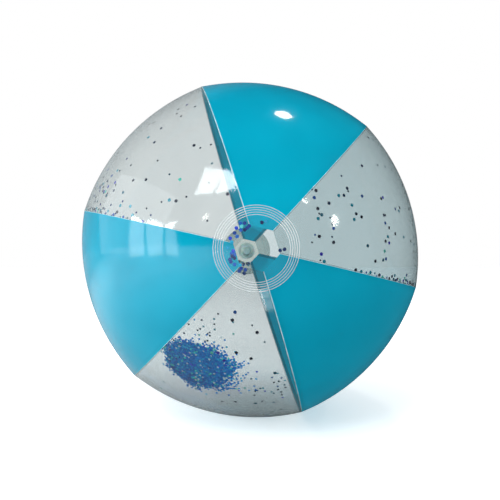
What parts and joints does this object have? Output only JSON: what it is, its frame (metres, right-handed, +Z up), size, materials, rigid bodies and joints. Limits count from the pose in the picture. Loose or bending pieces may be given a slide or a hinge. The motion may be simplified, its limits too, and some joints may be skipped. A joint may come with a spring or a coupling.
{
  "type": "inflatable beach ball",
  "caption": "Inflated six-gore beach ball of turquoise and clear vinyl film with end caps, loose glitter inside and a push-in air valve.",
  "frame": {"origin": "centre of the ball", "axes": "+Y along the pole axis towards the valve, +Z up, +X to the right when looking along +Y"},
  "size_m": [0.389, 0.391, 0.3876],
  "materials": {
    "turquoise_vinyl": "glossy PVC film, printed turquoise",
    "clear_vinyl": "glossy clear PVC film",
    "valve_vinyl": "soft moulded translucent PVC",
    "holographic_glitter": "metallised holographic polyester hexagons"
  },
  "bodies": {
    "ball": {"gore_turquoise_1": "turquoise_vinyl", "gore_turquoise_2": "turquoise_vinyl", "gore_turquoise_3": "turquoise_vinyl", "gore_clear_1": "clear_vinyl", "gore_clear_2": "clear_vinyl", "gore_clear_3": "clear_vinyl", "front_cap": "clear_vinyl", "rear_cap": "clear_vinyl", "valve_flange": "valve_vinyl", "valve_bellows": "valve_vinyl", "glitter_on_clear_1": "holographic_glitter", "glitter_on_clear_2": "holographic_glitter", "glitter_on_clear_3": "holographic_glitter", "glitter_on_turquoise_1": "holographic_glitter", "glitter_on_turquoise_2": "holographic_glitter", "glitter_on_turquoise_3": "holographic_glitter", "glitter_at_front_cap": "holographic_glitter", "glitter_at_rear_cap": "holographic_glitter"},
    "heap": {"glitter_heap": "holographic_glitter"},
    "stem": {"valve_stem": "valve_vinyl", "plug_strap": "valve_vinyl"},
    "plug": {"valve_plug": "valve_vinyl"},
    "flap": {"check_flap": "valve_vinyl"}
  },
  "joints": [
    {"name": "heap_roll", "type": "hinge", "parent": "ball", "child": "heap", "pos_m": [0, 0, 0], "axis": [0, 1, 0], "continuous": true},
    {"name": "stem_slide", "type": "slide", "parent": "ball", "child": "stem", "axis": [0, 1, 0], "range_m": [0, 0.014], "deforming": ["valve_bellows"]},
    {"name": "plug_swing", "type": "hinge", "parent": "stem", "child": "plug", "pos_m": [0, 0.1957, -0.01], "axis": [-1, 0, 0], "range_deg": [0, 150], "deforming": ["plug_strap"]},
    {"name": "flap_swing", "type": "hinge", "parent": "stem", "child": "flap", "pos_m": [0, 0.17765, 0.0049], "axis": [-1, 0, 0], "range_deg": [0, 60], "stiffness_Nm_per_rad": 0.0001}
  ]
}
